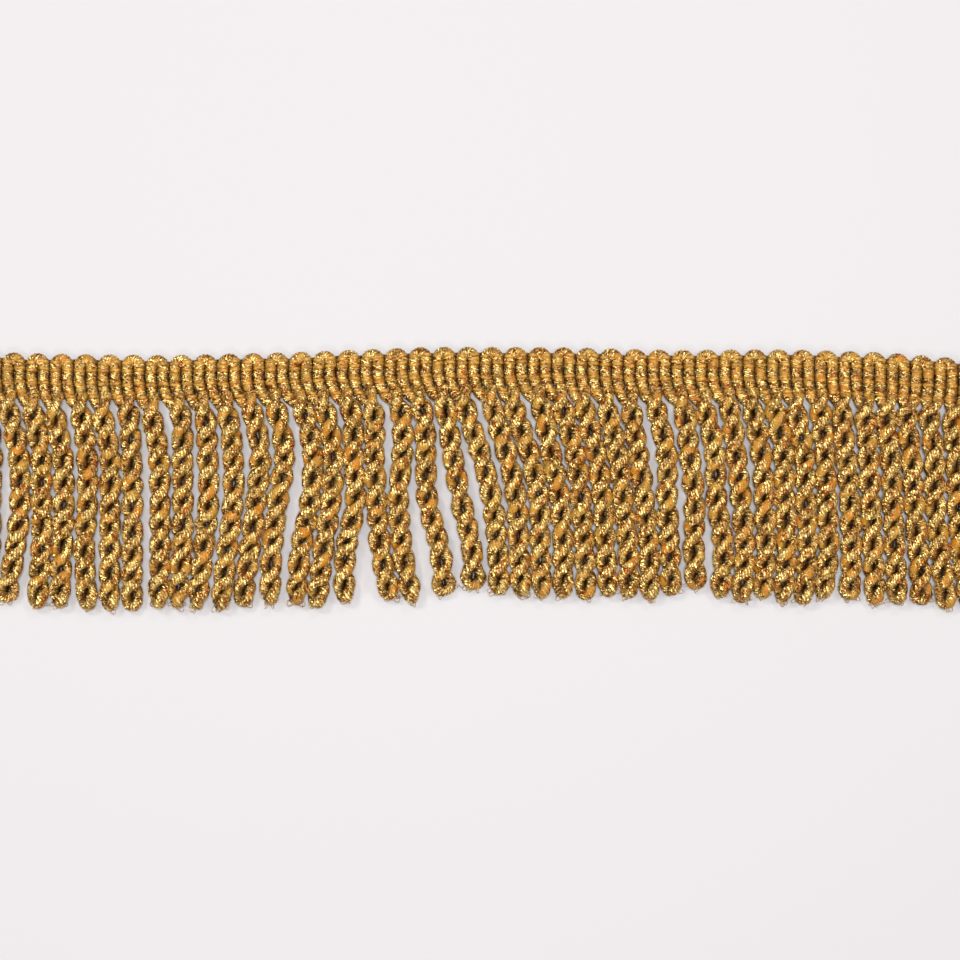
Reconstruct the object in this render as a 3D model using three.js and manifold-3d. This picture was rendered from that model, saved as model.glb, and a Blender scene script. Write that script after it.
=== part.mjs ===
// A cut length of twisted cord fringe, lying face up on a table.
// Millimetres: +X runs along the heading, +Y from the cord ends to the scalloped edge, +Z up off the table.

import * as THREE from 'three';
import Module from 'manifold-3d';

// Heading: a band of ribs. Two ribs turn over the edge together as one scallop.
const CORDS = 43;
const SCALLOP_PITCH = 5.98;
const RIB_PITCH = SCALLOP_PITCH / 2;
const RIBS = 2 * CORDS;
const HALF_LENGTH = RIBS * RIB_PITCH / 2;
const HEADING_HEIGHT = 12;

// How far the edge drops below a scallop's crown, and how deep into the heading that is still felt.
const RIB_DROP = 0.35;
const NOTCH_DROP = 1.7;
const END_RIB_DROP = 0.8;
const END_DROP = 2.2;
const DROP_REACH = 3.4;

// Height of the heading's cut ends, and how far its back stands in from the edge.
const END_HEIGHT = 1.2;
const BACK_INSET = 0.3;

// Foot strip: the last row of the weave, parted from the heading, where the cords are gathered.
const PARTING = 0.3;
const STRIP_HEIGHT = 2;
const STRIP_THICKNESS = 2.5;
const STRIP_BEVEL = 0.4;

// Cords: two plies twisted together, drawn as one four-sided bar that turns as the plies do.
const CORD_WIDTH = 4.6;
const CORD_WAIST = 3.6;
const HALF_TURN = 5.6;
const STEP_TURN = THREE.MathUtils.degToRad(72);
const ROOT_DEPTH = 13.4;
const TOP_DEPTH = 16;

// A cord starts thin inside the strip and reaches its full width two steps on.
const GATHERED = [0.5, 0.8];
const GATHERED_LIFT = 0.1;

// Loop at a cord's end: it lies flat, so it is as thick on every cord and only its width differs.
const LOOP_LENGTH = 5.2;
const LOOP_THICKNESS = 2.8;
const LOOP_SECTIONS = [
  { along: 0.4, width: 1, thickness: 1 },
  { along: 0.75, width: 0.94, thickness: 1 },
  { along: 1, width: 0.5, thickness: 0.7 },
];

const HEADING_GOLD = 0xa9742a;
const CORD_GOLD = 0xb5822f;

// The heading isn't laid quite straight: the height of its scalloped edge along its length.
const EDGE_LINE = [
  { x: -130, y: 31.9 },
  { x: -105, y: 31.1 },
  { x: -77.5, y: 30.8 },
  { x: -45, y: 31.6 },
  { x: -12.5, y: 32.9 },
  { x: 20, y: 32.8 },
  { x: 47.5, y: 32.1 },
  { x: 75, y: 32.3 },
  { x: 100, y: 31.6 },
  { x: 117.5, y: 30.2 },
  { x: 130, y: 29.2 },
];

// Rows of the heading from the edge down: depth, height on a rib and height in the groove between ribs.
// The grooves are shallow where a row of warp yarn crosses them.
const HEADING_ROWS = [
  { depth: 0, rib: 1.3, groove: 1.3 },
  { depth: 0.8, rib: 2.3, groove: 1.9 },
  { depth: 1.7, rib: 2.8, groove: 2.3 },
  { depth: 2.7, rib: 2.5, groove: 1.6 },
  { depth: 3.8, rib: 2.8, groove: 2.3 },
  { depth: 5.5, rib: 2.5, groove: 1.5 },
  { depth: 7.2, rib: 2.8, groove: 2.3 },
  { depth: 8.9, rib: 2.5, groove: 1.5 },
  { depth: 10.6, rib: 2.8, groove: 2.3 },
  { depth: HEADING_HEIGHT, rib: 2.3, groove: 1.7 },
];

// Where the cords lie, from left to right: x under the heading and at three heights,
// then the end of the loop and its width.
const UPPER_Y = 7.25;
const MIDDLE_Y = -5.25;
const LOWER_Y = -17.75;
const CORD_COLUMNS = ['top', 'upper', 'middle', 'lower', 'tipX', 'tipY', 'loop'];
const CORD_ROWS = [
  [-123.0, -122.0, -122.2, -122.4, -124.4, -31.8, 4.4],
  [-117.3, -115.4, -114.8, -116.1, -118.8, -30.9, 5.8],
  [-111.5, -109.8, -109.5, -109.5, -110.8, -32.5, 4.8],
  [-106.0, -104.4, -103.9, -104.4, -105.1, -32.3, 4.4],
  [-99.4, -98.3, -98.0, -98.8, -97.9, -32.9, 4.8],
  [-94.1, -92.5, -92.4, -92.4, -92.5, -33.0, 4.6],
  [-87.6, -87.1, -86.8, -86.8, -87.0, -33.1, 5.4],
  [-81.8, -80.4, -79.9, -79.8, -80.4, -32.5, 4.0],
  [-74.5, -74.3, -74.2, -74.4, -75.9, -32.5, 3.6],
  [-68.6, -68.1, -67.8, -69.0, -71.0, -32.7, 3.6],
  [-62.8, -61.8, -61.6, -63.1, -65.0, -32.9, 4.2],
  [-56.5, -54.9, -55.9, -57.5, -59.5, -32.0, 5.0],
  [-50.4, -48.8, -50.4, -52.0, -52.4, -31.6, 4.0],
  [-43.6, -41.9, -42.3, -44.8, -46.0, -31.6, 4.0],
  [-38.3, -36.8, -37.2, -39.1, -41.0, -32.4, 4.6],
  [-32.0, -31.7, -31.1, -33.5, -33.9, -31.0, 4.6],
  [-26.6, -26.4, -25.8, -24.8, -22.2, -30.3, 5.2],
  [-19.8, -19.4, -20.4, -19.3, -16.8, -31.1, 4.0],
  [-14.3, -13.6, -13.1, -10.0, -8.8, -29.3, 6.2],
  [-8.5, -7.0, -4.8, -2.0, -1.6, -27.8, 6.4],
  [-3.4, -0.1, 3.0, 4.4, 4.9, -29.0, 5.0],
  [3.4, 6.4, 9.1, 9.7, 10.5, -29.5, 4.4],
  [8.8, 12.1, 14.7, 15.0, 15.6, -29.9, 4.2],
  [15.6, 17.6, 19.9, 20.8, 20.7, -29.9, 4.6],
  [20.9, 23.5, 25.2, 26.1, 26.5, -30.3, 5.0],
  [26.3, 28.8, 30.6, 31.4, 32.2, -29.5, 4.6],
  [32.0, 34.1, 35.8, 37.0, 37.3, -29.9, 4.4],
  [37.9, 39.4, 41.0, 42.2, 42.4, -30.3, 4.6],
  [44.3, 46.5, 46.7, 47.4, 47.8, -29.3, 5.0],
  [51.1, 52.2, 53.6, 53.4, 54.2, -27.8, 5.2],
  [56.5, 58.5, 59.1, 60.8, 59.8, -29.8, 4.4],
  [62.6, 63.8, 65.2, 66.1, 65.1, -31.0, 4.4],
  [68.3, 70.1, 71.0, 71.4, 70.3, -30.0, 4.6],
  [73.9, 75.6, 76.1, 76.6, 75.5, -30.9, 4.2],
  [79.1, 80.8, 81.3, 81.8, 80.5, -31.5, 4.4],
  [85.1, 86.0, 86.6, 87.0, 85.5, -30.0, 4.4],
  [90.5, 91.2, 92.3, 92.8, 92.3, -30.3, 5.6],
  [96.2, 96.8, 97.5, 98.1, 98.8, -31.5, 4.4],
  [101.4, 102.3, 103.0, 103.6, 104.4, -31.5, 4.4],
  [106.6, 107.6, 108.3, 109.4, 110.6, -31.6, 5.4],
  [112.2, 113.3, 113.6, 114.8, 116.8, -32.6, 5.0],
  [118.0, 118.8, 119.2, 120.1, 122.4, -32.0, 4.8],
  [123.9, 124.6, 124.9, 125.4, 127.6, -31.8, 4.6],
];

const wasm = await Module();
wasm.setup();

// Height of the scalloped edge at x, read off the edge line.
function edgeHeight(x) {
  const next = EDGE_LINE.findIndex((point) => point.x > x);
  const left = EDGE_LINE[next - 1];
  const right = EDGE_LINE[next];
  return THREE.MathUtils.mapLinear(x, left.x, right.x, left.y, right.y);
}

// Closed solid through rings of points. Each ring has as many points as the others,
// running anticlockwise as seen from the ring after it.
function loft(rings) {
  const sides = rings[0].length;
  const last = (rings.length - 1) * sides;
  const index = [];
  for (let start = 0; start < last; start += sides) {
    for (let side = 0; side < sides; side += 1) {
      const here = start + side;
      const beside = start + (side + 1) % sides;
      index.push(here, beside, here + sides);
      index.push(beside, beside + sides, here + sides);
    }
  }
  for (let side = 1; side < sides - 1; side += 1) {
    index.push(0, side + 1, side);
    index.push(last, last + side, last + side + 1);
  }
  const geometry = new THREE.BufferGeometry().setFromPoints(rings.flat());
  geometry.setIndex(index);
  return geometry;
}

// How far the edge drops at a line of the heading. Lines go groove, rib, groove, and so on,
// and every second groove is the middle of a scallop.
function edgeDrop(line) {
  const fromEnd = Math.min(line, 2 * RIBS - line);
  if (fromEnd < 2) {
    return fromEnd === 0 ? END_DROP : END_RIB_DROP;
  }
  if (line % 2 === 1) {
    return RIB_DROP;
  }
  return line % 4 === 0 ? 0 : NOTCH_DROP;
}

// Ring of the heading at one line: its flat back, then its rows from the edge to the foot.
function headingRing(line) {
  const x = line * RIB_PITCH / 2 - HALF_LENGTH;
  const edge = edgeHeight(x);
  const drop = edgeDrop(line);
  const isEnd = line === 0 || line === 2 * RIBS;
  const front = HEADING_ROWS.map(({ depth, rib, groove }) => {
    const fade = Math.max(0, 1 - depth / DROP_REACH);
    const height = line % 2 === 1 ? rib : groove;
    return new THREE.Vector3(x, edge - depth - drop * fade, isEnd ? END_HEIGHT : height);
  });
  const backEdge = new THREE.Vector3(x, edge - drop - BACK_INSET, 0);
  const backFoot = new THREE.Vector3(x, edge - HEADING_HEIGHT, 0);
  return [backEdge, ...front, backFoot];
}

function makeHeading() {
  const rings = [];
  for (let line = 0; line <= 2 * RIBS; line += 1) {
    rings.push(headingRing(line));
  }
  const gold = new THREE.MeshStandardMaterial({ color: HEADING_GOLD, roughness: 0.45, metalness: 0.4 });
  const heading = new THREE.Mesh(loft(rings), gold);
  heading.name = 'heading';
  return heading;
}

// Ring of the foot strip at x: flat back, bevelled front.
function stripRing(x) {
  const upper = edgeHeight(x) - HEADING_HEIGHT - PARTING;
  const lower = upper - STRIP_HEIGHT;
  return [
    new THREE.Vector3(x, upper, 0),
    new THREE.Vector3(x, upper - STRIP_BEVEL, STRIP_THICKNESS),
    new THREE.Vector3(x, lower + STRIP_BEVEL, STRIP_THICKNESS),
    new THREE.Vector3(x, lower, 0),
  ];
}

function stripGeometry() {
  const rings = [];
  for (let cord = 0; cord <= CORDS; cord += 1) {
    rings.push(stripRing(cord * SCALLOP_PITCH - HALF_LENGTH));
  }
  return loft(rings);
}

// Four-sided section of a cord at a point of its route, turned about the route by an angle.
function cordRing(route, along, height, halfWide, halfThick, turn) {
  const place = route.getPointAt(along).setZ(height);
  const up = new THREE.Vector3(0, 0, 1);
  const side = up.clone().cross(route.getTangentAt(along)).normalize();
  const wide = side.clone().multiplyScalar(Math.cos(turn)).addScaledVector(up, Math.sin(turn));
  const thick = side.clone().multiplyScalar(-Math.sin(turn)).addScaledVector(up, Math.cos(turn));
  return [
    place.clone().addScaledVector(wide, halfWide),
    place.clone().addScaledVector(thick, halfThick),
    place.clone().addScaledVector(wide, -halfWide),
    place.clone().addScaledVector(thick, -halfThick),
  ];
}

// One cord: a twisted bar from the strip to the start of its loop, then the flat loop.
// Its corners touch the table all along, so every cord rests level.
function cordGeometry({ top, upper, middle, lower, tipX, tipY, loop }) {
  const route = new THREE.CatmullRomCurve3([
    new THREE.Vector3(top, edgeHeight(top) - ROOT_DEPTH, 0),
    new THREE.Vector3(top, edgeHeight(top) - TOP_DEPTH, 0),
    new THREE.Vector3(upper, UPPER_Y, 0),
    new THREE.Vector3(middle, MIDDLE_Y, 0),
    new THREE.Vector3(lower, LOWER_Y, 0),
    new THREE.Vector3(tipX, tipY, 0),
  ]);
  const length = route.getLength();
  const twisted = length - LOOP_LENGTH;
  const steps = Math.round(twisted / (HALF_TURN * STEP_TURN / Math.PI));
  const rings = [];
  for (let step = 0; step <= steps; step += 1) {
    const scale = GATHERED[step] ?? 1;
    const lift = step < GATHERED.length ? GATHERED_LIFT : 0;
    const halfWide = scale * CORD_WIDTH / 2;
    const halfThick = scale * CORD_WAIST / 2;
    const height = halfWide * Math.sin(STEP_TURN) + lift;
    const along = step / steps * twisted / length;
    rings.push(cordRing(route, along, height, halfWide, halfThick, (step - steps) * STEP_TURN));
  }
  for (const { along, width, thickness } of LOOP_SECTIONS) {
    const halfThick = thickness * LOOP_THICKNESS / 2;
    const place = (twisted + along * LOOP_LENGTH) / length;
    rings.push(cordRing(route, Math.min(place, 1), LOOP_THICKNESS / 2, width * loop / 2, halfThick, 0));
  }
  return loft(rings);
}

function toSolid(geometry) {
  return new wasm.Manifold(new wasm.Mesh({
    numProp: 3,
    vertProperties: new Float32Array(geometry.attributes.position.array),
    triVerts: new Uint32Array(geometry.index.array),
  }));
}

function toGeometry(solid) {
  const mesh = solid.getMesh();
  const geometry = new THREE.BufferGeometry();
  geometry.setAttribute('position', new THREE.BufferAttribute(mesh.vertProperties, 3));
  geometry.setIndex(new THREE.BufferAttribute(mesh.triVerts, 1));
  return geometry;
}

function makeFringe() {
  let solid = toSolid(stripGeometry());
  for (const row of CORD_ROWS) {
    const cord = Object.fromEntries(CORD_COLUMNS.map((column, place) => [column, row[place]]));
    solid = solid.add(toSolid(cordGeometry(cord)));
  }
  const gold = new THREE.MeshStandardMaterial({ color: CORD_GOLD, roughness: 0.4, metalness: 0.4 });
  const fringe = new THREE.Mesh(toGeometry(solid), gold);
  fringe.name = 'fringe';
  return fringe;
}

// The origin is the middle of the whole trim, on the table.
const trim = new THREE.Group();
trim.add(makeHeading(), makeFringe());
const middle = new THREE.Box3().setFromObject(trim).getCenter(new THREE.Vector3());
trim.position.set(-middle.x, -middle.y, 0);

export default trim;
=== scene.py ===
# %% [markdown]
# # Gold cord fringe
# A cut length of fringe trim, seen from straight above as it lies on a pale table. One thick yarn makes
# all of it: it crosses the heading as a rib, turns over the top edge as half of a scallop, comes back as
# the next rib, and hangs below the heading as a loop that is twisted into a cord.
# This lesson follows that yarn. One surface, a wound yarn swept along a path, makes every piece.

import bpy
import numpy as np
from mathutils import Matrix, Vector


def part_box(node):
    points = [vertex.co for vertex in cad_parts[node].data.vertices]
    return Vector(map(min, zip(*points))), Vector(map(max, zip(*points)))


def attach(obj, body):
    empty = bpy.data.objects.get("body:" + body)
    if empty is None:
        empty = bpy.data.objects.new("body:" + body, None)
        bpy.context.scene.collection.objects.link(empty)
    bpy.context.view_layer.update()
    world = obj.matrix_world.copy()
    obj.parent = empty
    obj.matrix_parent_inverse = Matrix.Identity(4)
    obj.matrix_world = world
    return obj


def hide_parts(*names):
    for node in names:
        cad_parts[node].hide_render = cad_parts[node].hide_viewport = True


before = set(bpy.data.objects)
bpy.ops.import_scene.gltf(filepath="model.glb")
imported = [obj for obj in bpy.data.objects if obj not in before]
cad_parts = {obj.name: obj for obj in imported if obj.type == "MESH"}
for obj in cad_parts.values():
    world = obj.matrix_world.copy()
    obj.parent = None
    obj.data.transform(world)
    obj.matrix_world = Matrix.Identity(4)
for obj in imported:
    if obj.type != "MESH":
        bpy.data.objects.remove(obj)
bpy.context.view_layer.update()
MM = 0.001
print("frame nodes:", sorted(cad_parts))

# %% [markdown]
# ## Where the cords lie
# Real cords never lie as even as a comb. Their places are read off the trim, one row for each cord,
# at four heights and at the tip of the loop. The solids of the frame use the same rows, so both agree.
# A few driving sizes give the rest: the pitch of the scallops, the heights at which the rows are read, and
# the line of the scalloped edge. That line wanders by nearly four millimetres, as it does in a soft trim
# that is laid down without a ruler.

# %% Driving sizes, in millimetres
SCALLOP_PITCH = 5.98
RIB_PITCH = SCALLOP_PITCH / 2
TOP_DEPTH = 16.0
UPPER_Y, MIDDLE_Y, LOWER_Y = 7.25, -5.25, -17.75

EDGE_X = np.array([-130, -105, -77.5, -45, -12.5, 20, 47.5, 75, 100, 117.5, 130])
EDGE_Y = np.array([31.9, 31.1, 30.8, 31.6, 32.9, 32.8, 32.1, 32.3, 31.6, 30.2, 29.2])
print("the scalloped edge wanders by", round(np.ptp(EDGE_Y), 1), "mm")

# %% Cord rows: x at the top, upper, middle and lower heights, then the loop's tip x, tip y and width
CORD_ROWS = np.array([
    [-123.0, -122.0, -122.2, -122.4, -124.4, -31.8, 4.4],
    [-117.3, -115.4, -114.8, -116.1, -118.8, -30.9, 5.8],
    [-111.5, -109.8, -109.5, -109.5, -110.8, -32.5, 4.8],
    [-106.0, -104.4, -103.9, -104.4, -105.1, -32.3, 4.4],
    [-99.4, -98.3, -98.0, -98.8, -97.9, -32.9, 4.8],
    [-94.1, -92.5, -92.4, -92.4, -92.5, -33.0, 4.6],
    [-87.6, -87.1, -86.8, -86.8, -87.0, -33.1, 5.4],
    [-81.8, -80.4, -79.9, -79.8, -80.4, -32.5, 4.0],
    [-74.5, -74.3, -74.2, -74.4, -75.9, -32.5, 3.6],
    [-68.6, -68.1, -67.8, -69.0, -71.0, -32.7, 3.6],
    [-62.8, -61.8, -61.6, -63.1, -65.0, -32.9, 4.2],
    [-56.5, -54.9, -55.9, -57.5, -59.5, -32.0, 5.0],
    [-50.4, -48.8, -50.4, -52.0, -52.4, -31.6, 4.0],
    [-43.6, -41.9, -42.3, -44.8, -46.0, -31.6, 4.0],
    [-38.3, -36.8, -37.2, -39.1, -41.0, -32.4, 4.6],
    [-32.0, -31.7, -31.1, -33.5, -33.9, -31.0, 4.6],
    [-26.6, -26.4, -25.8, -24.8, -22.2, -30.3, 5.2],
    [-19.8, -19.4, -20.4, -19.3, -16.8, -31.1, 4.0],
    [-14.3, -13.6, -13.1, -10.0, -8.8, -29.3, 6.2],
    [-8.5, -7.0, -4.8, -2.0, -1.6, -27.8, 6.4],
    [-3.4, -0.1, 3.0, 4.4, 4.9, -29.0, 5.0],
    [3.4, 6.4, 9.1, 9.7, 10.5, -29.5, 4.4],
    [8.8, 12.1, 14.7, 15.0, 15.6, -29.9, 4.2],
    [15.6, 17.6, 19.9, 20.8, 20.7, -29.9, 4.6],
    [20.9, 23.5, 25.2, 26.1, 26.5, -30.3, 5.0],
    [26.3, 28.8, 30.6, 31.4, 32.2, -29.5, 4.6],
    [32.0, 34.1, 35.8, 37.0, 37.3, -29.9, 4.4],
    [37.9, 39.4, 41.0, 42.2, 42.4, -30.3, 4.6],
    [44.3, 46.5, 46.7, 47.4, 47.8, -29.3, 5.0],
    [51.1, 52.2, 53.6, 53.4, 54.2, -27.8, 5.2],
    [56.5, 58.5, 59.1, 60.8, 59.8, -29.8, 4.4],
    [62.6, 63.8, 65.2, 66.1, 65.1, -31.0, 4.4],
    [68.3, 70.1, 71.0, 71.4, 70.3, -30.0, 4.6],
    [73.9, 75.6, 76.1, 76.6, 75.5, -30.9, 4.2],
    [79.1, 80.8, 81.3, 81.8, 80.5, -31.5, 4.4],
    [85.1, 86.0, 86.6, 87.0, 85.5, -30.0, 4.4],
    [90.5, 91.2, 92.3, 92.8, 92.3, -30.3, 5.6],
    [96.2, 96.8, 97.5, 98.1, 98.8, -31.5, 4.4],
    [101.4, 102.3, 103.0, 103.6, 104.4, -31.5, 4.4],
    [106.6, 107.6, 108.3, 109.4, 110.6, -31.6, 5.4],
    [112.2, 113.3, 113.6, 114.8, 116.8, -32.6, 5.0],
    [118.0, 118.8, 119.2, 120.1, 122.4, -32.0, 4.8],
    [123.9, 124.6, 124.9, 125.4, 127.6, -31.8, 4.6],
])
TOP, UPPER, MIDDLE, LOWER, TIP_X, TIP_Y, LOOP = range(CORD_ROWS.shape[1])
CORDS = len(CORD_ROWS)
RIBS = 2 * CORDS
rib_x = (np.arange(RIBS) + 0.5 - CORDS) * RIB_PITCH
print(CORDS, "cords,", RIBS, "ribs")

# %% [markdown]
# ## From the rows to the frame
# The rows are measured from the middle of the picture, while the frame's origin is the middle of the whole
# trim. The heading's own box in the frame gives the small shift between the two, so the shift isn't guessed.


# %% Shift from the rows to the frame
def edge_line(x):
    """Height of the scalloped edge at x: straight blending between the points of the edge line."""
    return np.interp(x, EDGE_X, EDGE_Y)


def ease(x, start, end):
    """0 before start, 1 after end, and the smooth step 3t^2 - 2t^3 between them."""
    t = np.clip((x - start) / (end - start), 0.0, 1.0)
    return t * t * (3.0 - 2.0 * t)


low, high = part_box("heading")
crown_x = (np.arange(CORDS - 1) + 1 - CORDS / 2) * SCALLOP_PITCH
shift_x = low[0] / MM + CORDS * RIB_PITCH
shift_y = high[1] / MM - edge_line(crown_x).max()
SHIFT_TO_FRAME = np.array([shift_x, shift_y, 0.0])
print("shift to the frame, mm:", SHIFT_TO_FRAME.round(3))

# %% [markdown]
# ## The camera and the light
# The camera looks straight down from two thirds of a metre, through a long lens, so that the picture is
# 240 mm wide. Metal thread shows what it reflects: it needs a few bright panels and a quieter surround
# between them, or every thread turns the same flat yellow. A wide panel straight above reaches the table
# between the cords, a strong one stands up left, and smaller ones all round give each thread its glints.

# %% Camera
PICTURE_WIDTH = 240.0
LENS, SENSOR, NEAREST = 100.0, 36.0, 10.0
LOOK_HEIGHT = 2.0
PICTURE_MIDDLE_Y = -0.25

camera_data = bpy.data.cameras.new("camera")
camera_data.lens = LENS
camera_data.sensor_width = SENSOR
camera_data.clip_start = NEAREST * MM
camera = bpy.data.objects.new("camera", camera_data)
camera_height = LOOK_HEIGHT + PICTURE_WIDTH * LENS / SENSOR
camera.location = (np.array([0.0, PICTURE_MIDDLE_Y, camera_height]) + SHIFT_TO_FRAME) * MM
bpy.context.collection.objects.link(camera)
bpy.context.scene.camera = camera
print("camera height, mm:", round(camera_height))

# %% Light panels: place in metres, size in metres, power in watts
PANELS = {
    "top_panel": ((0.03, 0.04, 1.10), 0.30, 12.4),
    "key_panel": ((-0.35, 0.40, 0.80), 0.16, 3.1),
    "right_panel": ((0.55, 0.10, 0.65), 0.12, 1.3),
    "near_panel": ((-0.10, -0.60, 0.65), 0.14, 1.3),
    "far_panel": ((0.25, 0.55, 0.70), 0.10, 1.0),
    "left_panel": ((-0.60, -0.15, 0.60), 0.10, 1.0),
}


def add_panel(name, place, size, power):
    """A square area light that faces the origin."""
    light = bpy.data.lights.new(name, "AREA")
    light.size = size
    light.energy = power
    panel = bpy.data.objects.new(name, light)
    panel.location = place
    panel.rotation_euler = (-panel.location).to_track_quat("-Z", "Y").to_euler()
    bpy.context.collection.objects.link(panel)


for panel_name, (place, size, power) in PANELS.items():
    add_panel(panel_name, place, size, power)
print(len(PANELS), "light panels,", sum(power for _, _, power in PANELS.values()), "W in all")

# %% [markdown]
# ## Colours and nodes
# Colours are written as screen colours, because that is how they are read off a picture. The shader works
# in linear light, so one function turns them over. One more adds a node with its settings and links.


# %% Colour and node helpers
def linear(hex_colour):
    """An sRGB hex colour as linear RGBA: c / 12.92 below 0.04045, else ((c + 0.055) / 1.055) ** 2.4."""
    c = np.array([int(hex_colour[i:i + 2], 16) for i in (1, 3, 5)]) / 255.0
    c = np.where(c <= 0.04045, c / 12.92, ((c + 0.055) / 1.055) ** 2.4)
    return (*c, 1.0)


def add_node(tree, kind, inputs, **settings):
    """Adds a node with its settings. An input is a value, a socket, or a node that gives its first output."""
    new = tree.nodes.new(kind)
    for name, value in settings.items():
        setattr(new, name, value)
    for key, value in inputs.items():
        if isinstance(value, bpy.types.Node):
            value = next(output for output in value.outputs if output.enabled)
        if isinstance(value, bpy.types.NodeSocket):
            tree.links.new(value, new.inputs[key])
        else:
            new.inputs[key].default_value = value
    return new


def new_material(name):
    """A material with an empty node tree."""
    material = bpy.data.materials.new(name)
    material.use_nodes = True
    material.node_tree.nodes.clear()
    return material, material.node_tree


# A Mix node has sockets for numbers, vectors and colours, and these two are its colours
MIX_A, MIX_B = 6, 7
print("mid grey is", round(linear("#808080")[0], 3), "in linear light")

# %% [markdown]
# ## The surround and the table
# The surround is a plain grey, darker than the panels. The table is a pale matt board.

# %% Surround and table
SURROUND, SURROUND_STRENGTH = "#ffffff", 0.28
TABLE, TABLE_ROUGH = "#b1aeaf", 0.9
TABLE_HALF = 1.5

scene = bpy.context.scene
scene.view_settings.view_transform = "Standard"
world = bpy.data.worlds.new("surround")
world.use_nodes = True
world.node_tree.nodes["Background"].inputs["Color"].default_value = linear(SURROUND)
world.node_tree.nodes["Background"].inputs["Strength"].default_value = SURROUND_STRENGTH
scene.world = world

table_mesh = bpy.data.meshes.new("table")
corners = np.array([[-1, -1, 0], [1, -1, 0], [1, 1, 0], [-1, 1, 0]]) * TABLE_HALF
table_mesh.from_pydata(corners.tolist(), [], [[0, 1, 2, 3]])
table = bpy.data.objects.new("table", table_mesh)
bpy.context.collection.objects.link(table)
table_finish, tree = new_material("matt_painted_board")
shader = add_node(tree, "ShaderNodeBsdfPrincipled", {"Base Color": linear(TABLE), "Roughness": TABLE_ROUGH})
add_node(tree, "ShaderNodeOutputMaterial", {"Surface": shader})
table_mesh.materials.append(table_finish)
print("table side, m:", 2 * TABLE_HALF)

# %% [markdown]
# ## A wound yarn
# The yarn is a soft viscose core with a metallised thread wound round it. Up close, that thread is a row of
# ridges with furrows between them, painted with shade in the finish, and each ridge catches the light on its
# own. A bump map could fake the ridges, but then the outline would stay smooth. So the ridges are in the
# mesh.
# The trick is to let the mesh follow the winding: each ring of points is sheared into a helix, so a whole
# edge loop runs along a furrow and the next two along the crest of a thread. The last point of a ring joins
# the first point of a ring further on, and the open steps at both ends are closed by one cap each.

# %% Yarn sizes
WIND_PITCH = 0.48
WIND_STEPS = 3
WIND_STARTS, WINDINGS_MORE = 6, 4
RIDGE_HEIGHT, RIDGE_STEEP, RIDGE_SINK = 0.22, 1.5, 0.6
SIDES = 10
BARE_FROM, BARE_TO, BARE_SMOOTH = 0.78, 0.9, 0.8
PATCH_WAVES, PATCH_SLANT, PATCH_TURN = (2.9, 4.7, 8.3), 1.2, 6.3
# Painted shade: how dark the inside of a ply is painted, and over which part of its round; then the same for
# a rib's flanks
EYE_SHADE, EYE_FROM, EYE_TO = 0.9, -0.3, 0.85
FLANK_FROM, FLANK_TO = 0.4, 1.0
STRIP_LONG, STRIP_LOW, STRIP_HIGH = 0.94, 0.04, 0.92
CAP_MIDDLE, CAP_HALF, CAP_APART = (0.97, 0.25), (0.015, 0.2), (0.0, 0.5)


def drift(rng, at, wavelengths):
    """A smooth random curve between about -1 and 1: the mean of sines of the given wavelengths."""
    waves = [np.sin(2 * np.pi * (at / w + rng.random())) for w in wavelengths]
    return np.mean(waves, axis=0) * np.sqrt(2)


def unit(vectors):
    """Each vector divided by its length."""
    return vectors / np.linalg.norm(vectors, axis=-1, keepdims=True)


def read_along(values, lengths, at):
    """Each column of values, known at the given lengths, read at other lengths by straight blending."""
    return np.stack([np.interp(at, lengths, column) for column in values.T], axis=-1)


def running_length(path):
    """The length of a path from its start to each of its points."""
    return np.concatenate([[0.0], np.cumsum(np.linalg.norm(np.diff(path, axis=0), axis=1))])


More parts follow.
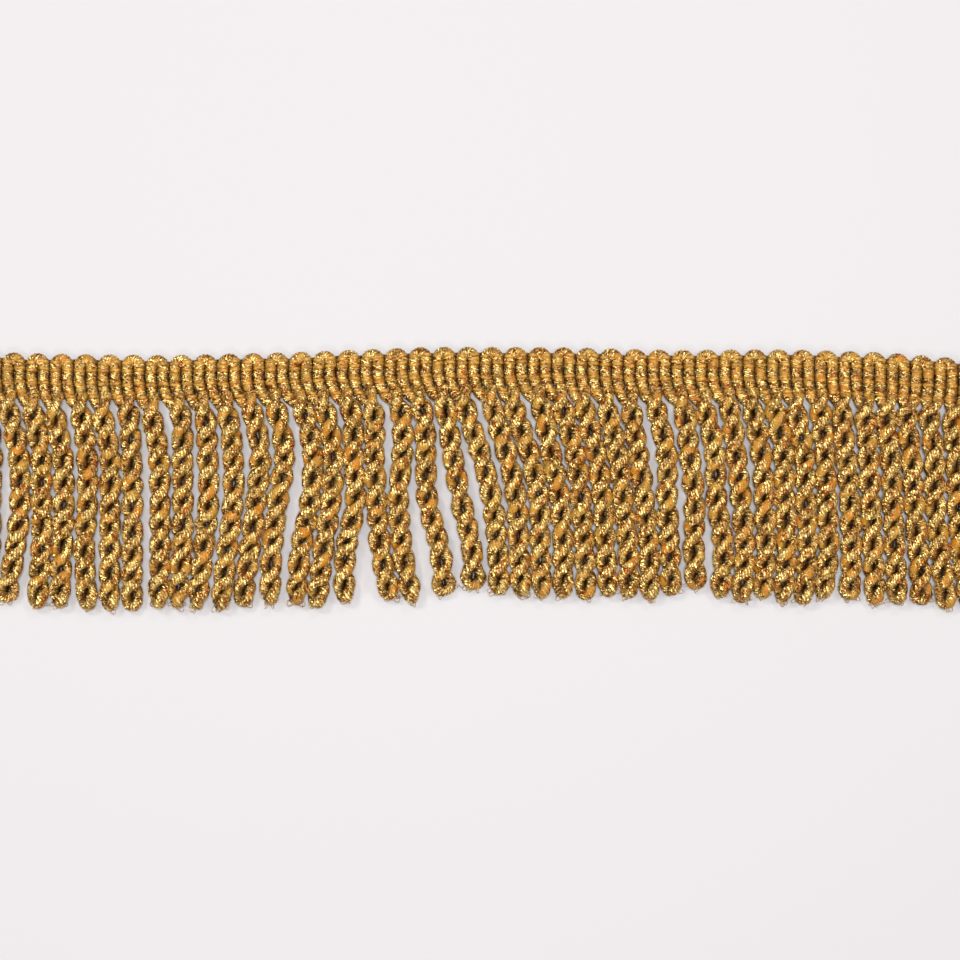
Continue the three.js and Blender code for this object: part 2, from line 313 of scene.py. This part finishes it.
def yarn_surface(path, flat, half_in, half_side, rng, wedge=0.0, painted_eye_shade=0.0, painted_flank_shade=0.0,
                 pitch=WIND_PITCH, starts=WIND_STARTS, ridge=RIDGE_HEIGHT, sides=SIDES):
    """A closed tube along a path, with a wound thread raised on it.

    p(s, v) = c(s) + N(s) (a + h) cos v + F(s) (b + h) (1 - w max(cos v, 0)) sin v, where c is the path,
    F the normal of the plane that the yarn curves in, N the direction to the inside of the curve, a and b
    the half sizes along N and F, w the wedge that pinches the inside, and h the ridge: a wave along s that
    is carried round v as a left-hand helix with the given number of starts. Gives back the points, the
    quads, the two caps, the four marks of each point, and the flat map of each face corner.
    """
    lengths = running_length(path)
    along = unit(np.gradient(path, lengths, axis=0))
    inward = unit(np.cross(flat, along))
    side = np.cross(along, inward)

    windings = max(round(lengths[-1] / pitch), starts + WINDINGS_MORE)
    lead = WIND_STEPS * starts
    step = np.arange(windings * WIND_STEPS - lead + 1)[:, None]
    column = np.arange(sides)[None, :]
    s = (step + lead * column / sides) * lengths[-1] / (windings * WIND_STEPS)
    angle = -2 * np.pi * column / sides

    def at_s(values):
        return np.interp(s, lengths, np.broadcast_to(values, len(path)))

    wind = np.clip(RIDGE_STEEP * np.sin(np.pi * step / WIND_STEPS) ** 2, 0.0, 1.0) + 0.0 * column
    slanted = s + PATCH_SLANT * np.sin(angle + rng.random() * PATCH_TURN)
    bare = ease(0.5 + 0.5 * drift(rng, slanted, PATCH_WAVES), BARE_FROM, BARE_TO)
    tone = rng.random((windings + 1, sides)).repeat(WIND_STEPS, axis=0)[:len(step)]
    # Painted shade: the inside of a ply, where it presses on its partner, and the flanks of a rib, where it
    # meets the next, are marked to be painted dark
    dark = EYE_SHADE * at_s(painted_eye_shade) * ease(np.cos(angle), EYE_FROM, EYE_TO)
    dark = dark + at_s(painted_flank_shade) * ease(abs(np.cos(angle)), FLANK_FROM, FLANK_TO)

    lift = ridge * (wind - RIDGE_SINK) * (0.5 + tone) * (1.0 - BARE_SMOOTH * bare)
    a = (at_s(half_in) + lift) * np.cos(angle)
    b = (at_s(half_side) + lift) * np.sin(angle) * (1.0 - at_s(wedge) * np.cos(angle).clip(0.0))
    points = read_along(path, lengths, s) + read_along(inward, lengths, s) * a[..., None]
    points = points + read_along(side, lengths, s) * b[..., None]

    rows = len(step)
    row, col = np.meshgrid(np.arange(rows - 1), np.arange(sides), indexing="ij")
    wraps = col == sides - 1
    fits = ~wraps | (row + lead < rows - 1)
    row, col, wraps = row[fits], col[fits], wraps[fits]
    here = row * sides + col
    beside = np.where(wraps, (row + lead) * sides, here + 1)
    quads = np.stack([here, here + sides, beside + sides, beside], axis=-1)

    first = np.concatenate([np.arange(sides), np.arange(lead, 0, -1) * sides])
    corner = rows * sides - 1
    last = np.concatenate([corner - sides + 1 + np.arange(sides), corner - np.arange(1, lead + 1) * sides])
    marks = np.stack([wind, bare, tone, dark], axis=-1)

    around = col[:, None] + [0, 0, 1, 1]
    on = row[:, None] + [0, 1, 1, 0] + lead * around / sides
    strip = np.stack([STRIP_LONG * on / (rows - 1 + lead), STRIP_LOW + STRIP_HIGH * around / sides], axis=-1)
    turn = 2 * np.pi * np.arange(sides + lead) / (sides + lead)
    disc = CAP_MIDDLE + np.stack([np.cos(turn), np.sin(turn)], axis=-1) * CAP_HALF
    flat_map = np.concatenate([strip.reshape(-1, 2), disc, disc + CAP_APART])
    return points.reshape(-1, 3), quads, [first, last[::-1]], marks.reshape(-1, 4), flat_map


print("wound yarn ready:", SIDES, "sides,", WIND_STEPS, "steps to a winding of", WIND_PITCH, "mm")

# %% [markdown]
# ## From surfaces to pieces
# Many yarns make one piece, so their arrays are stacked and each one's point numbers move on by the points
# before it. The four marks of every point (on the thread or between threads, bare core, tone, and painted
# shade: dark inside the cords and on the flanks between ribs) go along as one colour attribute, which the
# finishes read. Each yarn also gets a flat map, as if it were slit along one side and unrolled: a long strip
# with the two round caps beside its end.


# %% Piece maker
def make_piece(name, surfaces, finish, node, across=1):
    """One mesh object from a list of yarn surfaces, hung on the body root in place of its frame node, which
    is hidden.

    The flat map gives each surface one tile, in as many columns as the number across.
    """
    starts = np.cumsum([0] + [len(surface[0]) for surface in surfaces])
    points = np.concatenate([surface[0] for surface in surfaces]) + SHIFT_TO_FRAME
    faces = []
    for start, (_, quads, caps, _, _) in zip(starts, surfaces):
        faces += (quads + start).tolist() + [(cap + start).tolist() for cap in caps]
    mesh = bpy.data.meshes.new(name)
    mesh.from_pydata((points * MM).tolist(), [], faces)
    mesh.polygons.foreach_set("use_smooth", np.ones(len(faces), dtype=bool))
    marks = mesh.attributes.new("yarn", "FLOAT_COLOR", "POINT")
    marks.data.foreach_set("color", np.concatenate([surface[3] for surface in surfaces]).ravel())
    tiles = np.array([across, -(-len(surfaces) // across)])
    corners = [surface[4] + np.array([i % across, i // across]) for i, surface in enumerate(surfaces)]
    flat_map = mesh.uv_layers.new(name="OFBake")
    flat_map.data.foreach_set("uv", (np.concatenate(corners) / tiles).ravel())
    mesh.materials.append(finish)
    piece = bpy.data.objects.new(name, mesh)
    bpy.context.collection.objects.link(piece)
    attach(piece, "root")
    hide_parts(node)
    print(name, "has", sum(len(face) - 2 for face in faces), "triangles")


print("each piece rides on the body root")

# %% [markdown]
# ## The finishes
# Metal foil on a thread is bright gold where it faces a panel, and the furrow beside it is painted brown with
# shade. The core shows as satin viscose where the winding has slipped. Flat foil twists as it is wound, so
# each short stretch of thread has its own tone and faces its own way: small cells tilt the normal, and the
# few that happen to mirror a panel are the glints. All else is in the marks, and the finish mixes colours by
# them; the last mark paints shade inside the cords and on the flanks between ribs.

# %% Wound gold finish
FOIL_BROWN, FOIL_OLIVE, FOIL_LIGHT = "#9c4c10", "#845010", "#ffda84"
# The last colour is painted shade: a dark brown put in the eyes between plies, the furrows between windings,
# the flanks between ribs and the warp where it dives
CORE_ORANGE, CORE_GOLD, CORE_DEEP, PAINTED_SHADE = "#ba7416", "#b08630", "#744814", "#2c1002"
CORE_PATCH, FIBRE, FOIL_CELL = 5.0, 0.28, 0.29
HUE_FROM, HUE_TO = 0.38, 0.62
STRAND_FROM, STRAND_TO = 0.35, 0.6
FURROW_SHARE, FOIL_TILT = 0.1, 1.3
RELIEF_SHARE, RELIEF_DEPTH = 0.5, 0.1
SPECK_FROM, SPECK_TO = 0.8, 1.05
CORE_ROUGH, FOIL_ROUGH, CORE_SHEEN = 0.5, 0.32, 0.2

gold_finish, tree = new_material("metallised_thread_over_viscose")
marks = add_node(tree, "ShaderNodeAttribute", {}, attribute_name="yarn")
split = add_node(tree, "ShaderNodeSeparateColor", {"Color": marks.outputs["Color"]})
wind, bare, tone = split.outputs[0], split.outputs[1], split.outputs[2]
place = add_node(tree, "ShaderNodeTexCoord", {}).outputs["Object"]

# Core: two dyes in patches of 5 mm, darker between fibres of 0.28 mm
dye = add_node(tree, "ShaderNodeTexNoise", {"Vector": place, "Scale": 1 / (CORE_PATCH * MM)})
hue = add_node(tree, "ShaderNodeMapRange", {"Value": dye, "From Min": HUE_FROM, "From Max": HUE_TO})
fibre = add_node(tree, "ShaderNodeTexNoise", {"Vector": place, "Scale": 1 / (FIBRE * MM)})
strand = add_node(tree, "ShaderNodeMapRange", {"Value": fibre, "From Min": STRAND_FROM,
                                               "From Max": STRAND_TO})
satin = add_node(tree, "ShaderNodeMix", {0: hue, MIX_A: linear(CORE_ORANGE), MIX_B: linear(CORE_GOLD)},
                 data_type="RGBA")
core = add_node(tree, "ShaderNodeMix", {0: strand, MIX_A: linear(CORE_DEEP), MIX_B: satin},
                data_type="RGBA")

# Foil: dull to light gold by the tone of each stretch and cell, painted shade in the furrow, gone where bare
dull = add_node(tree, "ShaderNodeMix", {0: hue, MIX_A: linear(FOIL_BROWN), MIX_B: linear(FOIL_OLIVE)},
                data_type="RGBA")
cells = add_node(tree, "ShaderNodeTexVoronoi", {"Vector": place, "Scale": 1 / (FOIL_CELL * MM)})
grain = add_node(tree, "ShaderNodeSeparateColor", {"Color": cells.outputs["Color"]})
speck = add_node(tree, "ShaderNodeMath", {0: tone, 1: grain}, operation="ADD")
gleam = add_node(tree, "ShaderNodeMapRange", {"Value": speck, "From Min": SPECK_FROM, "From Max": SPECK_TO})
foil = add_node(tree, "ShaderNodeMix", {0: gleam, MIX_A: dull, MIX_B: linear(FOIL_LIGHT)}, data_type="RGBA")
# Painted shade in the furrow: mostly the painted shade colour, with a tenth of the core
shaded_furrow = add_node(tree, "ShaderNodeMix", {0: FURROW_SHARE, MIX_A: linear(PAINTED_SHADE), MIX_B: core},
                  data_type="RGBA")
wound = add_node(tree, "ShaderNodeMix", {0: wind, MIX_A: shaded_furrow, MIX_B: foil}, data_type="RGBA")
yarn = add_node(tree, "ShaderNodeMix", {0: bare, MIX_A: wound, MIX_B: core}, data_type="RGBA")
# Painted shade: the last mark mixes in the painted shade colour inside the cords and on the flanks between
# ribs
colour = add_node(tree, "ShaderNodeMix", {0: marks.outputs["Alpha"], MIX_A: yarn, MIX_B: linear(PAINTED_SHADE)},
                  data_type="RGBA")

# Facets: each 0.29 mm cell of foil leans its own way, and the fibres show through as a fine relief
covered = add_node(tree, "ShaderNodeMath", {0: 1.0, 1: bare}, operation="SUBTRACT")
metal = add_node(tree, "ShaderNodeMath", {0: covered, 1: wind}, operation="MULTIPLY")
rough = add_node(tree, "ShaderNodeMapRange", {"Value": metal, "To Min": CORE_ROUGH, "To Max": FOIL_ROUGH})
lean_way = add_node(tree, "ShaderNodeVectorMath", {0: cells.outputs["Color"], 1: (0.5, 0.5, 0.5)},
                    operation="SUBTRACT")
amount = add_node(tree, "ShaderNodeMath", {0: metal, 1: FOIL_TILT}, operation="MULTIPLY")
normal = add_node(tree, "ShaderNodeNewGeometry", {}).outputs["Normal"]
tilted = add_node(tree, "ShaderNodeVectorMath", {0: lean_way, 1: amount, 2: normal},
                  operation="MULTIPLY_ADD")
facet = add_node(tree, "ShaderNodeVectorMath", {0: tilted}, operation="NORMALIZE")
relief = add_node(tree, "ShaderNodeBump", {"Height": fibre, "Strength": RELIEF_SHARE,
                                           "Distance": RELIEF_DEPTH * MM, "Normal": facet})
shader = add_node(tree, "ShaderNodeBsdfPrincipled", {"Base Color": colour, "Metallic": metal,
                                                     "Roughness": rough, "Normal": relief,
                                                     "Specular IOR Level": CORE_SHEEN})
add_node(tree, "ShaderNodeOutputMaterial", {"Surface": shader})
print(gold_finish.name, "has", len(tree.nodes), "nodes")

# %% [markdown]
# The warp yarn is plain satin viscose with no metal. Its tone drifts along its length, and it is painted with
# shade where it dives between two ribs, at the middle of their height.

# %% Satin warp finish
WARP_DARK, WARP_LIGHT, WARP_PATCH = "#643a0c", "#c69234", 1.2
WARP_FROM, WARP_TO, WARP_DETAIL, WARP_DETAIL_ROUGH = 0.35, 0.65, 5.0, 0.7
WARP_MIDDLE, WARP_DEEP, WARP_CREST, WARP_ROUGH = 1.4, 0.3, 1.1, 0.34

warp_finish, tree = new_material("satin_viscose_warp")
place = add_node(tree, "ShaderNodeTexCoord", {}).outputs["Object"]
dye = add_node(tree, "ShaderNodeTexNoise", {"Vector": place, "Scale": 1 / (WARP_PATCH * MM),
                                            "Detail": WARP_DETAIL, "Roughness": WARP_DETAIL_ROUGH})
shade = add_node(tree, "ShaderNodeMapRange", {"Value": dye, "From Min": WARP_FROM, "From Max": WARP_TO})
satin = add_node(tree, "ShaderNodeMix", {0: shade, MIX_A: linear(WARP_DARK), MIX_B: linear(WARP_LIGHT)},
                 data_type="RGBA")
# Painted shade: the warp is mixed towards the painted shade colour near the middle height, where it dives
# between ribs
height = add_node(tree, "ShaderNodeSeparateXYZ", {0: place}).outputs["Z"]
above = add_node(tree, "ShaderNodeMath", {0: height, 1: WARP_MIDDLE * MM}, operation="SUBTRACT")
off_middle = add_node(tree, "ShaderNodeMath", {0: above}, operation="ABSOLUTE")
unshaded = add_node(tree, "ShaderNodeMapRange", {"Value": off_middle, "From Min": WARP_DEEP * MM,
                                              "From Max": WARP_CREST * MM})
colour = add_node(tree, "ShaderNodeMix", {0: unshaded, MIX_A: linear(PAINTED_SHADE), MIX_B: satin}, data_type="RGBA")
shader = add_node(tree, "ShaderNodeBsdfPrincipled", {"Base Color": colour, "Roughness": WARP_ROUGH})
add_node(tree, "ShaderNodeOutputMaterial", {"Surface": shader})
print(warp_finish.name, "has", len(tree.nodes), "nodes")

# %% [markdown]
# ## The course of the yarn
# Two neighbouring ribs are the two ends of one long loop. Spun hard and let go, the loop twists on itself
# and locks as a cord. So the path of a cord starts at the top of its ribs: down upright at first, leaning to
# the place where the cord hangs, gathered under the last warp row, then twisting, and round the tip.
# The pair makes a half turn every 5.6 mm. A loop that shows broad at its tip lies flat on the table, and
# one that shows narrow stands on edge, so its width in the rows gives the last bit of the turn.

# %% Course sizes
RIB_HALF_WIDE, RIB_HALF_HIGH, RIB_MIDDLE = 1.46, 1.2, 1.4
BEND_RADIUS = RIB_PITCH / 2
BEND_CLEAR = 0.1
BEND_DEPTH = RIB_HALF_HIGH + BEND_CLEAR + BEND_RADIUS
LEAN_FROM, LEAN_DEPTHS = 7.0, (10.6, 13.0)
TWIST_FROM, TWIST_FULL, HALF_TURN = 10.1, 11.9, 5.6
GATHER = (10.8, 15.5)
PLY_OUT, PLY_HALF_IN, PLY_HALF_SIDE = 1.26, 1.34, 1.46
FLATTEN, DWELL = 0.1, 0.28
UNEVEN, UNEVEN_WAVES = 0.08, (4.3, 7.9)
TWIST_UNEVEN, TWIST_WAVES = 0.2, (11.0, 19.0)
TWIST_FADE = (-1.3, 0.9)
CORD_MIDDLE, CROSS_LIFT = 2.9, 0.08
LOOP_HALF, LOOP_LIFT, LOOP_LONG, LOOSE_END = 1.46, 0.28, 1.1, 1.6
AXIS_POINTS, PLY_POINTS, TIP_POINTS = 1000, 800, 60
UP = np.array([0.0, 0.0, 1.0])
lean = CORD_ROWS[:, TOP] - rib_x.reshape(-1, 2).mean(axis=1)


def smooth_line(at, knots, values):
    """The cubic Hermite curve through the knots, with slopes taken from the neighbours on both sides."""
    slopes = np.gradient(values, knots)
    i = np.clip(np.searchsorted(knots, at) - 1, 0, len(knots) - 2)
    span = knots[i + 1] - knots[i]
    t = (at - knots[i]) / span
    start = (2 * t**3 - 3 * t**2 + 1) * values[i] + (t**3 - 2 * t**2 + t) * span * slopes[i]
    return start + (3 * t**2 - 2 * t**3) * values[i + 1] + (t**3 - t**2) * span * slopes[i + 1]


def cord_axis(cord):
    """The line between the two plies of a cord, from the bend of the scallop to the tip."""
    row = CORD_ROWS[cord]
    root = rib_x[2 * cord:2 * cord + 2].mean()
    early = np.array([BEND_DEPTH, LEAN_FROM, *LEAN_DEPTHS])
    x = np.concatenate([root + lean[cord] * ease(early, LEAN_FROM, TOP_DEPTH), row[:TIP_Y]])
    top_y = edge_line(row[TOP]) - TOP_DEPTH
    y = np.array([*(edge_line(root) - early), top_y, UPPER_Y, MIDDLE_Y, LOWER_Y, row[TIP_Y]])
    down = np.linspace(-y[0], -y[-1], AXIS_POINTS)
    return np.stack([smooth_line(down, -y, x), -down, 0 * down], axis=-1)


def cord_course(cord, rng):
    """Depth, paths of both plies, flat side and loop share of a cord.

    c(s) = axis(s) -+ r(s) (S cos q + U sin q), where q is the twist so far, S points right and U up.
    """
    axis = cord_axis(cord)
    lengths = running_length(axis)
    width = CORD_ROWS[cord, LOOP]
    loop_out = max(width / 2 - LOOP_HALF, PLY_OUT)
    tilt = np.arccos(np.clip((width / 2 - LOOP_HALF) / loop_out, 0, 1))
    close = lengths[-1] - LOOP_HALF - LOOP_LONG * loop_out
    bend = np.linspace(0, np.pi / 2, TIP_POINTS)[1:]
    s = np.concatenate([np.linspace(0, close, PLY_POINTS), close + LOOP_LONG * loop_out * np.sin(bend)])
    depth = BEND_DEPTH + s
    loop = ease(s, close - LOOSE_END, close)
    gathered = ease(depth, *GATHER)

    rate = ease(depth, TWIST_FROM, TWIST_FULL) * (1 - ease(s, close + TWIST_FADE[0], close + TWIST_FADE[1]))
    rate = rate * (1 + TWIST_UNEVEN * drift(rng, s, TWIST_WAVES))
    twist = np.concatenate([[0.0], np.cumsum(rate[1:] * np.diff(s))])
    twist = twist / twist[-1] * (np.pi * round(twist[-1] / HALF_TURN) + tilt)
    twist = twist - DWELL * np.sin(2 * twist) * (gathered - loop)
    pair = PLY_OUT + FLATTEN * np.cos(2 * twist) + UNEVEN * drift(rng, s, UNEVEN_WAVES)
    out = RIB_PITCH / 2 * (1 - gathered) + pair * (gathered - loop) + loop_out * loop
    out[-len(bend):] = loop_out * np.cos(bend)

    along = unit(read_along(np.gradient(axis, lengths, axis=0), lengths, s))
    right = np.cross(UP, along)
    rib_height = RIB_MIDDLE + (out + CROSS_LIFT) * abs(np.sin(twist))
    height = rib_height * (1 - gathered) + CORD_MIDDLE * gathered
    height = height + (LOOP_HALF + LOOP_LIFT + out * abs(np.sin(twist)) - height) * loop
    middle = read_along(axis, lengths, s) + UP * height[:, None]
    arm = right * np.cos(twist)[:, None] + UP * np.sin(twist)[:, None]
    plies = middle - arm * out[:, None], middle + arm * out[:, None]
    return depth, plies, np.cross(along, arm), loop


SEED = 11
rng = np.random.default_rng(SEED)
courses = [cord_course(cord, rng) for cord in range(CORDS)]
print("yarn in the first cord, mm:", round(2 * running_length(courses[0][1][0])[-1]))

# %% [markdown]
# ## The heading
# In the heading the yarns stand side by side as ribs. Two neighbours turn over the edge together, so a
# scallop is one yarn: up the last rib of a cord, round half a circle, down the first rib of the next cord.
# The first and last rib have no neighbour. They are cut, and simply taper to an end.
# Below the heading, each rib runs on for a little way inside the cord that takes over from it, so that no
# end shows.

# %% Scallops and end ribs
RIB_FOOT = 14.0
HAND_OVER = (9.4, 10.4)
HIDDEN_SHARE = 0.3
# Painted shade on the flanks of the ribs, where they meet, grows in between the two flank depths
FLANK_SHADE, FLANK_DEPTHS = 0.64, (2.0, 4.0)
WARP_DEPTHS = np.array([1.9, 3.8, 7.2, 10.6])
WARP_PINCH, WARP_GRIP = 0.25, 0.7
END_TOP, END_TAPER, END_LEAST = 1.6, 1.4, 0.02
ARC_POINTS, END_POINTS = 62, 30


def pinch(depth):
    """How far the warp rows press a rib down at a depth: a bell curve at each row."""
    rows = np.exp(-((depth[:, None] - WARP_DEPTHS) / WARP_GRIP) ** 2)
    return WARP_PINCH * rows.sum(axis=1)


def rib_part(cord, ply):
    """Depth, path and flat side of one rib, from the bend down to its hidden foot."""
    depth, plies, flat, _ = courses[cord]
    kept = depth < RIB_FOOT
    return depth[kept], plies[ply][kept], -flat[kept]


def rib_surface(depth, path, flat, taper=1.0):
    """The yarn of a rib or scallop, thinned where it is hidden and painted with shade on its flanks between
    the ribs.
    """
    thin = taper * (1 - HIDDEN_SHARE * ease(depth, *HAND_OVER))
    return yarn_surface(path, flat, RIB_HALF_WIDE * thin, (RIB_HALF_HIGH - pinch(depth)) * thin, rng,
                        painted_flank_shade=FLANK_SHADE * ease(depth, *FLANK_DEPTHS))


picks = []
turn = np.linspace(0, np.pi, ARC_POINTS)[1:-1]
for cord in range(CORDS - 1):
    depth_up, up, flat_up = rib_part(cord, 1)
    depth_down, down, flat_down = rib_part(cord + 1, 0)
    share = (0.5 - 0.5 * np.cos(turn))[:, None]
    arc = up[0] * (1 - share) + down[0] * share + np.outer(BEND_RADIUS * np.sin(turn), [0.0, 1.0, 0.0])
    depth = np.concatenate([depth_up[::-1], BEND_DEPTH - BEND_RADIUS * np.sin(turn), depth_down])
    path = np.concatenate([up[::-1], arc, down])
    flat = np.concatenate([flat_up[::-1], -UP + 0 * arc, flat_down])
    picks.append(rib_surface(depth, path, flat))
for cord, ply in ((0, 0), (CORDS - 1, 1)):
    depth, path, flat = rib_part(cord, ply)
    above = np.linspace(BEND_DEPTH - END_TOP, 0, END_POINTS)[:-1]
    stub = path[0] + np.outer(above, [0.0, 1.0, 0.0])
    depth = np.concatenate([BEND_DEPTH - above, depth])
    taper = np.sqrt(np.clip(1 - (1 - (depth - END_TOP) / END_TAPER).clip(0) ** 2, END_LEAST, 1))
    path = np.concatenate([stub, path])
    flat = np.concatenate([-UP + 0 * stub, flat])
    picks.append(rib_surface(depth, path, flat, taper))
make_piece("heading_picks", picks, gold_finish, "heading", across=4)

# %% [markdown]
# Four warp rows bind the ribs. In each row two yarns take turns: one goes over a rib while the other goes
# under it. Each row reads the height of the ribs where it crosses them, so it stays on top of the last,
# gathered row too.

# %% Warp rows
WARP_HALF_HIGH, WARP_HALF_WIDE, WARP_APART = 0.24, 0.5, 0.16
WARP_ABOVE, WARP_SWING, WARP_WANDER = 0.06, 1.14, 0.16
WARP_WAVES = (5.1, 9.3, 31.0)
WARP_PAST, WARP_POINTS = 1.0, 4000
WARP_STEP, WARP_SIDES = 1.1, 6

warps = []
for row_depth in WARP_DEPTHS:
    ribs = np.array([[np.interp(row_depth, depth, ply[:, i]) for i in range(3)]
                     for depth, plies, _, _ in courses for ply in plies])
    x = np.linspace(ribs[0, 0] - WARP_PAST, ribs[-1, 0] + WARP_PAST, WARP_POINTS)
    phase = np.pi * np.interp(x, ribs[:, 0], np.arange(RIBS))
    middle_z = np.interp(x, ribs[:, 0], ribs[:, 2]) + WARP_ABOVE
    for over in (-1, 1):
        y = edge_line(x) - row_depth + over * WARP_APART + WARP_WANDER * drift(rng, x, WARP_WAVES)
        path = np.stack([x, y, middle_z + over * WARP_SWING * np.cos(phase)], axis=-1)
        across = np.array([0.0, 1.0, 0.0]) + 0 * path
        warps.append(yarn_surface(path, across, WARP_HALF_HIGH, WARP_HALF_WIDE, rng, pitch=WARP_STEP,
                                  starts=0, ridge=0.0, sides=WARP_SIDES))
make_piece("heading_warp", warps, warp_finish, "heading")

# %% [markdown]
# ## The cords
# Each cord is one surface: down the first ply, round the tip, and up the second. The plies press on each
# other, so their insides are pinched to a wedge and lie in the dark, and the finish paints shade on them too.
# Seen from above, that makes the row of dark eyes down a cord. Four pieces share the cords, so that none is
# too heavy.

# %% Four pieces of cords
CORD_START = 6.5
WEDGE, WEDGE_OPEN = 0.62, 0.6
NARROW_DEPTHS = (9.5, 12.0)
SWELL_WAVES = (3.1, 5.3, 9.7)


def there_and_back(values):
    """Values of the first ply, followed by the same values in reverse for the second."""
    return np.concatenate([values, values[-2::-1]])


def cord_surface(cord):
    """The yarn of one cord, from inside the heading down to the tip and back."""
    depth, (first, second), flat, loop = courses[cord]
    kept = depth > CORD_START
    depth, loop = depth[kept], loop[kept]
    path = np.concatenate([first[kept], second[kept][-2::-1]])
    gathered = ease(depth, *GATHER)
    hidden = 1 - HIDDEN_SHARE * (1 - ease(depth, *HAND_OVER))
    half_in = RIB_HALF_WIDE + (PLY_HALF_IN - RIB_HALF_WIDE) * ease(depth, *NARROW_DEPTHS)
    half_in = half_in + (LOOP_HALF - PLY_HALF_IN) * loop
    low = RIB_HALF_HIGH - WARP_PINCH
    half_side = low + (PLY_HALF_SIDE - low) * gathered + (LOOP_HALF - PLY_HALF_SIDE) * loop
    swell = 1 + UNEVEN * drift(rng, np.linspace(0, running_length(path)[-1], len(path)), SWELL_WAVES)
    wedge = WEDGE * gathered * (1 - WEDGE_OPEN * loop)
    return yarn_surface(path, there_and_back(flat[kept]), there_and_back(half_in * hidden) * swell,
                        there_and_back(half_side * hidden) * swell, rng,
                        wedge=there_and_back(wedge), painted_eye_shade=there_and_back(gathered))


for letter, group in zip("abcd", np.array_split(np.arange(CORDS), 4)):
    cords = [cord_surface(cord) for cord in group]
    make_piece("fringe_cords_" + letter, cords, gold_finish, "fringe")

# %% [markdown]
# ## Stray threads
# Where a cord bends round its tip, the metallised thread springs off the core here and there in tiny open
# loops. They are hair thin and would hardly be missed one by one, but without them the ends look moulded.
# Each is half an ellipse that starts and ends inside the yarn. A seeded draw places them.

# %% Loose thread loops
STRAYS = 120
STRAY_HALF = 0.07
STRAY_STEP, STRAY_SIDES, STRAY_POINTS = 0.4, 5, 40
STRAY_FAN, STRAY_ASIDE, STRAY_INSIDE, STRAY_ROUND, STRAY_HEIGHT = 0.9, 0.375, 1.5, 1.1, 1.5
STRAY_REACH, STRAY_SPREAD, STRAY_LIFT = (0.6, 1.5), (0.3, 0.75), (-0.5, 0.8)


def stray_loop(base, angle, reach, spread, lift):
    """c(t) = base + (d h + U g) sin t + e w cos t, t from 0 to pi: d points out of the tip, e across it."""
    t = np.linspace(0, np.pi, STRAY_POINTS)[:, None]
    out = np.array([np.sin(angle), -np.cos(angle), 0.0])
    across = np.array([out[1], -out[0], 0.0])
    return base + (out * reach + UP * lift) * np.sin(t) + across * spread * np.cos(t)


strays = []
for cord in rng.integers(0, CORDS, STRAYS):
    tip = cord_axis(cord)[-1]
    angle = rng.normal(0, STRAY_FAN)
    aside = STRAY_ASIDE * CORD_ROWS[cord, LOOP] * np.sin(angle)
    base = tip + np.array([aside, STRAY_INSIDE - STRAY_ROUND * np.cos(angle), STRAY_HEIGHT])
    reach, spread, lift = rng.uniform(*STRAY_REACH), rng.uniform(*STRAY_SPREAD), rng.uniform(*STRAY_LIFT)
    path = stray_loop(base, angle, reach, spread, lift)
    flat = np.cross(path[0] - base, path[STRAY_POINTS // 2] - base) + 0 * path
    strays.append(yarn_surface(path, flat, STRAY_HALF, STRAY_HALF, rng, pitch=STRAY_STEP, starts=0,
                               ridge=0.0, sides=STRAY_SIDES))
make_piece("loose_threads", strays, gold_finish, "fringe", across=10)
